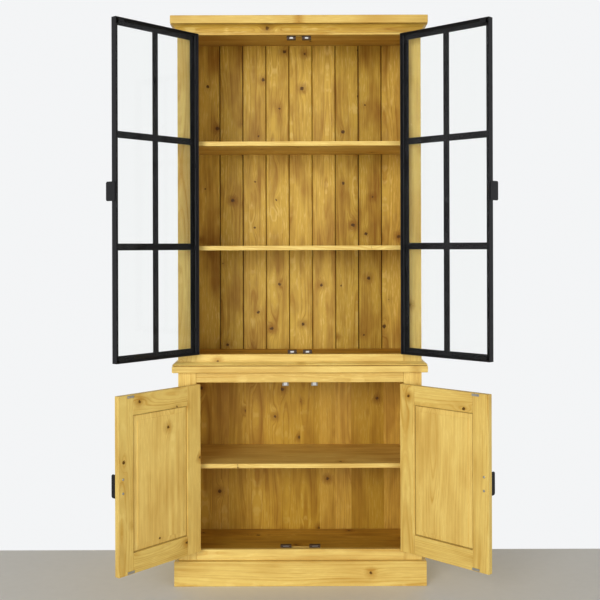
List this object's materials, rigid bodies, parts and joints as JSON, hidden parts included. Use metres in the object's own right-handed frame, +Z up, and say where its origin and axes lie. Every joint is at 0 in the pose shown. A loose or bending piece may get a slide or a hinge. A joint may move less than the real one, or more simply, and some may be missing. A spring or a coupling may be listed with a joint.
{
  "type": "pantry cabinet",
  "caption": "Free-standing pine pantry cabinet: glazed steel-framed doors over shelves above, frame-and-panel doors over a shelf below, with cornice, waist board and plinth.",
  "frame": {"origin": "on the floor, at the middle of the cabinet's width, in the front plane of the face frames, which lies over the plinth's front board", "axes": "+Z up, +X to the right as seen from the front, +Y to the back (the doors face -Y)"},
  "size_m": [1.4164, 0.7473, 2.218],
  "materials": {
    "pine": "clear satin lacquer on knotty pine",
    "black_steel": "matt black powder coat",
    "glass": "clear float",
    "hinge_steel": "black lacquered steel",
    "catch_plastic": "moulded brown"
  },
  "bodies": {
    "cabinet": {"plinth_front": "pine", "plinth_side_left": "pine", "plinth_side_right": "pine", "base_side_left": "pine", "base_side_right": "pine", "base_stile_left": "pine", "base_stile_right": "pine", "base_rail_bottom": "pine", "base_rail_top": "pine", "base_bottom_panel": "pine", "base_shelf": "pine", "base_back_panel": "pine", "waist_board": "pine", "waist_moulding": "pine", "upper_side_left": "pine", "upper_side_right": "pine", "upper_stile_left": "pine", "upper_stile_right": "pine", "upper_rail_bottom": "pine", "upper_rail_top": "pine", "upper_bottom_panel": "pine", "upper_shelf_lower": "pine", "upper_shelf_upper": "pine", "upper_back_boards": "pine", "cornice_board": "pine", "cornice_moulding": "pine", "upper_catch_top": "catch_plastic", "upper_catch_bottom": "catch_plastic", "base_catch_top": "catch_plastic", "base_catch_bottom": "catch_plastic", "upper_hinge_left_low": "hinge_steel", "upper_hinge_left_high": "hinge_steel", "upper_hinge_right_low": "hinge_steel", "upper_hinge_right_high": "hinge_steel", "lower_hinge_left_low": "hinge_steel", "lower_hinge_left_high": "hinge_steel", "lower_hinge_right_low": "hinge_steel", "lower_hinge_right_high": "hinge_steel"},
    "upper_door_left": {"upper_door_left_frame": "black_steel", "upper_door_left_glass": "glass", "upper_door_left_handle": "black_steel"},
    "lower_door_left": {"lower_door_left_stile_hinge": "pine", "lower_door_left_stile_free": "pine", "lower_door_left_rail_bottom": "pine", "lower_door_left_rail_top": "pine", "lower_door_left_panel": "pine", "lower_door_left_hinge_low": "hinge_steel", "lower_door_left_hinge_high": "hinge_steel", "lower_door_left_handle": "black_steel"},
    "upper_door_right": {"upper_door_right_frame": "black_steel", "upper_door_right_glass": "glass", "upper_door_right_handle": "black_steel"},
    "lower_door_right": {"lower_door_right_stile_hinge": "pine", "lower_door_right_stile_free": "pine", "lower_door_right_rail_bottom": "pine", "lower_door_right_rail_top": "pine", "lower_door_right_panel": "pine", "lower_door_right_hinge_low": "hinge_steel", "lower_door_right_hinge_high": "hinge_steel", "lower_door_right_handle": "black_steel"}
  },
  "joints": [
    {"name": "upper_door_left_hinge", "type": "hinge", "parent": "cabinet", "child": "upper_door_left", "pos_m": [-0.4075, -0.006, 1.523], "axis": [0, 0, -1], "range_deg": [-131.6, 38.4]},
    {"name": "upper_door_right_hinge", "type": "hinge", "parent": "cabinet", "child": "upper_door_right", "pos_m": [0.4075, -0.006, 1.523], "axis": [0, 0, 1], "range_deg": [-136.9, 33.1]},
    {"name": "lower_door_left_hinge", "type": "hinge", "parent": "cabinet", "child": "lower_door_left", "pos_m": [-0.405, -0.008, 0.4645], "axis": [0, 0, -1], "range_deg": [-130.6, 39.4]},
    {"name": "lower_door_right_hinge", "type": "hinge", "parent": "cabinet", "child": "lower_door_right", "pos_m": [0.405, -0.008, 0.4645], "axis": [0, 0, 1], "range_deg": [-136, 34]}
  ]
}
